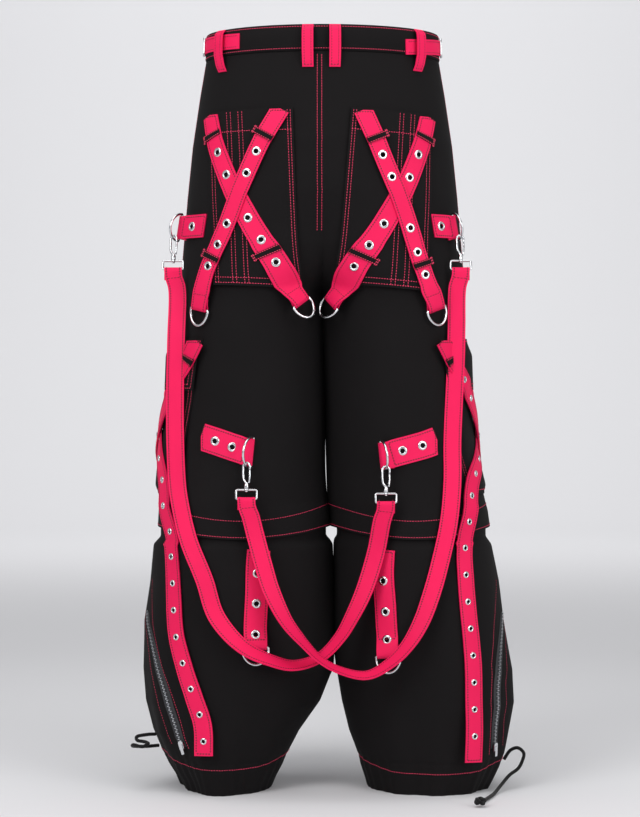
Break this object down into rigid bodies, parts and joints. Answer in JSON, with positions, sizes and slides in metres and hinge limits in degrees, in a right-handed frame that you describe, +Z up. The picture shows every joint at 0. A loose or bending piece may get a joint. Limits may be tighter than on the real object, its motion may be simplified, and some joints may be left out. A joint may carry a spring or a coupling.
{
  "type": "strap trousers",
  "caption": "Wide-leg trousers with zip-off lower legs, webbing straps, D-rings and swivel snap hooks, standing in their worn shape.",
  "frame": {"origin": "middle of the trousers' footprint at floor level, hanging straps, hooks and drawcords left out", "axes": "+Z up, +Y towards the wearer's front, +X towards the wearer's right, -Y is the back that carries the straps"},
  "size_m": [0.5475, 0.317, 1.0475],
  "materials": {
    "cloth": "black cotton twill, matt",
    "webbing": "hot pink cotton webbing with crimson stitching and eyelets",
    "chrome": "bright plated wire and die castings",
    "cord": "black round braided cord"
  },
  "bodies": {
    "trousers": {"waistband": "cloth", "fly_placket": "cloth", "waist_button": "chrome", "left_back_panel": "cloth", "left_front_panel": "cloth", "left_back_belt_loop": "webbing", "left_side_belt_loop": "webbing", "left_back_pocket": "cloth", "left_pocket_strap_outer": "webbing", "left_pocket_strap_inner": "webbing", "left_hip_tab": "webbing", "left_thigh_tab": "webbing", "left_cargo_pocket": "cloth", "left_cargo_flap": "cloth", "left_side_strap": "webbing", "right_back_panel": "cloth", "right_front_panel": "cloth", "right_back_belt_loop": "webbing", "right_side_belt_loop": "webbing", "right_back_pocket": "cloth", "right_pocket_strap_outer": "webbing", "right_pocket_strap_inner": "webbing", "right_hip_tab": "webbing", "right_thigh_tab": "webbing", "right_cargo_pocket": "cloth", "right_cargo_flap": "cloth", "right_side_strap": "webbing"},
    "left_lower_leg": {"left_lower_leg": "cloth", "left_leg_strap": "webbing", "left_drawcord": "cord"},
    "right_lower_leg": {"right_lower_leg": "cloth", "right_leg_strap": "webbing", "right_drawcord": "cord"},
    "left_pocket_ring_outer": {"left_pocket_ring_outer": "chrome"},
    "left_pocket_ring_inner": {"left_pocket_ring_inner": "chrome"},
    "left_leg_ring": {"left_leg_ring": "chrome"},
    "left_hip_ring": {"left_hip_ring": "chrome"},
    "left_thigh_ring": {"left_thigh_ring": "chrome"},
    "left_zip_slider": {"left_zip_slider": "chrome"},
    "right_pocket_ring_outer": {"right_pocket_ring_outer": "chrome"},
    "right_pocket_ring_inner": {"right_pocket_ring_inner": "chrome"},
    "right_leg_ring": {"right_leg_ring": "chrome"},
    "right_hip_ring": {"right_hip_ring": "chrome"},
    "right_thigh_ring": {"right_thigh_ring": "chrome"},
    "right_zip_slider": {"right_zip_slider": "chrome"},
    "left_hanging_strap": {"left_hanging_strap": "webbing", "left_hip_hook_eye": "chrome", "right_thigh_hook_eye": "chrome"},
    "right_hanging_strap": {"right_hanging_strap": "webbing", "right_hip_hook_eye": "chrome", "left_thigh_hook_eye": "chrome"},
    "left_hip_hook": {"left_hip_hook": "chrome"},
    "left_hip_hook_gate": {"left_hip_hook_gate": "chrome"},
    "left_thigh_hook": {"left_thigh_hook": "chrome"},
    "left_thigh_hook_gate": {"left_thigh_hook_gate": "chrome"},
    "right_hip_hook": {"right_hip_hook": "chrome"},
    "right_hip_hook_gate": {"right_hip_hook_gate": "chrome"},
    "right_thigh_hook": {"right_thigh_hook": "chrome"},
    "right_thigh_hook_gate": {"right_thigh_hook_gate": "chrome"}
  },
  "joints": [
    {"name": "left_leg_zip_off", "type": "slide", "parent": "trousers", "child": "left_lower_leg", "axis": [0, 0, -1], "range_m": [0, 0.12]},
    {"name": "right_leg_zip_off", "type": "slide", "parent": "trousers", "child": "right_lower_leg", "axis": [0, 0, -1], "range_m": [0, 0.12]},
    {"name": "left_pocket_ring_outer_swing", "type": "hinge", "parent": "trousers", "child": "left_pocket_ring_outer", "pos_m": [-0.03858, -0.10416, 0.67043], "axis": [-0.669, -0.5342, -0.5167], "range_deg": [0, 110]},
    {"name": "left_pocket_ring_inner_swing", "type": "hinge", "parent": "trousers", "child": "left_pocket_ring_inner", "pos_m": [-0.17602, -0.09575, 0.66199], "axis": [-0.7467, 0.6333, 0.2035], "range_deg": [0, 140]},
    {"name": "left_leg_ring_swing", "type": "hinge", "parent": "left_lower_leg", "child": "left_leg_ring", "pos_m": [-0.10001, -0.11185, 0.20468], "axis": [-0.9828, -0.1846, 0.004], "range_deg": [0, 30]},
    {"name": "left_hip_ring_swing", "type": "hinge", "parent": "trousers", "child": "left_hip_ring", "pos_m": [-0.2052, -0.04204, 0.77604], "axis": [-0.1549, 0.0731, -0.9852], "range_deg": [-2, 2]},
    {"name": "left_thigh_ring_swing", "type": "hinge", "parent": "trousers", "child": "left_thigh_ring", "pos_m": [-0.10451, -0.11338, 0.46797], "axis": [0.1, 0, 0.995], "range_deg": [-2, 2]},
    {"name": "right_pocket_ring_outer_swing", "type": "hinge", "parent": "trousers", "child": "right_pocket_ring_outer", "pos_m": [0.00293, -0.08616, 0.67051], "axis": [-0.5214, 0.6021, 0.6046], "range_deg": [0, 55]},
    {"name": "right_pocket_ring_inner_swing", "type": "hinge", "parent": "trousers", "child": "right_pocket_ring_inner", "pos_m": [0.14379, -0.10393, 0.66208], "axis": [-0.7948, -0.5145, -0.3219], "range_deg": [0, 125]},
    {"name": "right_leg_ring_swing", "type": "hinge", "parent": "right_lower_leg", "child": "right_leg_ring", "pos_m": [0.07926, -0.10271, 0.19273], "axis": [-0.9044, 0.4176, -0.0881], "range_deg": [0, 30]},
    {"name": "right_hip_ring_swing", "type": "hinge", "parent": "trousers", "child": "right_hip_ring", "pos_m": [0.17118, -0.0632, 0.77505], "axis": [-0.1778, -0.0779, 0.981], "range_deg": [-2, 2]},
    {"name": "right_thigh_ring_swing", "type": "hinge", "parent": "trousers", "child": "right_thigh_ring", "pos_m": [0.07063, -0.10895, 0.46302], "axis": [0.1, 0, -0.995], "range_deg": [-2, 2]},
    {"name": "left_strap_swing", "type": "hinge", "parent": "trousers", "child": "left_hanging_strap", "pos_m": [-0.21407, -0.05044, 0.76011], "axis": [-0.668, 0.1588, 0.7271], "range_deg": [0, 12]},
    {"name": "right_strap_swing", "type": "hinge", "parent": "trousers", "child": "right_hanging_strap", "pos_m": [0.17841, -0.07258, 0.75884], "axis": [-0.6799, -0.1177, -0.7238], "range_deg": [0, 12]},
    {"name": "left_hip_hook_swivel", "type": "hinge", "parent": "left_hanging_strap", "child": "left_hip_hook", "pos_m": [-0.21407, -0.05932, 0.73051], "axis": [0, 0.2873, 0.9578], "range_deg": [-10, 10]},
    {"name": "left_hip_gate", "type": "hinge", "parent": "left_hip_hook", "child": "left_hip_hook_gate", "pos_m": [-0.21068, -0.05917, 0.73903], "axis": [-0.5629, -0.7916, 0.2375], "range_deg": [0, 22], "stiffness_Nm_per_rad": 0.03, "springref_deg": -20.05},
    {"name": "left_thigh_hook_swivel", "type": "hinge", "parent": "right_hanging_strap", "child": "left_thigh_hook", "pos_m": [-0.11162, -0.12647, 0.41937], "axis": [0, 0.1191, 0.9929], "range_deg": [-10, 10]},
    {"name": "left_thigh_gate", "type": "hinge", "parent": "left_thigh_hook", "child": "left_thigh_hook_gate", "pos_m": [-0.10805, -0.12748, 0.42775], "axis": [-0.4881, -0.8666, 0.104], "range_deg": [0, 22], "stiffness_Nm_per_rad": 0.03, "springref_deg": -20.05},
    {"name": "right_hip_hook_swivel", "type": "hinge", "parent": "right_hanging_strap", "child": "right_hip_hook", "pos_m": [0.17841, -0.08145, 0.72925], "axis": [0, 0.2873, 0.9578], "range_deg": [-10, 10]},
    {"name": "right_hip_gate", "type": "hinge", "parent": "right_hip_hook", "child": "right_hip_hook_gate", "pos_m": [0.18219, -0.07757, 0.73664], "axis": [0.3896, -0.8822, 0.2646], "range_deg": [0, 22], "stiffness_Nm_per_rad": 0.03, "springref_deg": -20.05},
    {"name": "right_thigh_hook_swivel", "type": "hinge", "parent": "left_hanging_strap", "child": "right_thigh_hook", "pos_m": [0.07554, -0.12298, 0.4142], "axis": [0, 0.1191, 0.9929], "range_deg": [-10, 10]},
    {"name": "right_thigh_gate", "type": "hinge", "parent": "right_thigh_hook", "child": "right_thigh_hook_gate", "pos_m": [0.07947, -0.12084, 0.4222], "axis": [0.2847, -0.9518, 0.1142], "range_deg": [0, 22], "stiffness_Nm_per_rad": 0.03, "springref_deg": -20.05},
    {"name": "left_zip", "type": "hinge", "parent": "left_lower_leg", "child": "left_zip_slider", "pos_m": [-0.20924, 0.22031, 0.07859], "axis": [-0.9532, -0.0163, -0.302], "range_deg": [0, 18]},
    {"name": "right_zip", "type": "hinge", "parent": "right_lower_leg", "child": "right_zip_slider", "pos_m": [0.24812, 0.12793, 0.13128], "axis": [-0.9939, 0.1015, 0.0442], "range_deg": [0, 9]}
  ],
  "couplings": [
    {"joint": "left_strap_swing", "follows": "right_strap_swing", "ratio": 1}
  ]
}
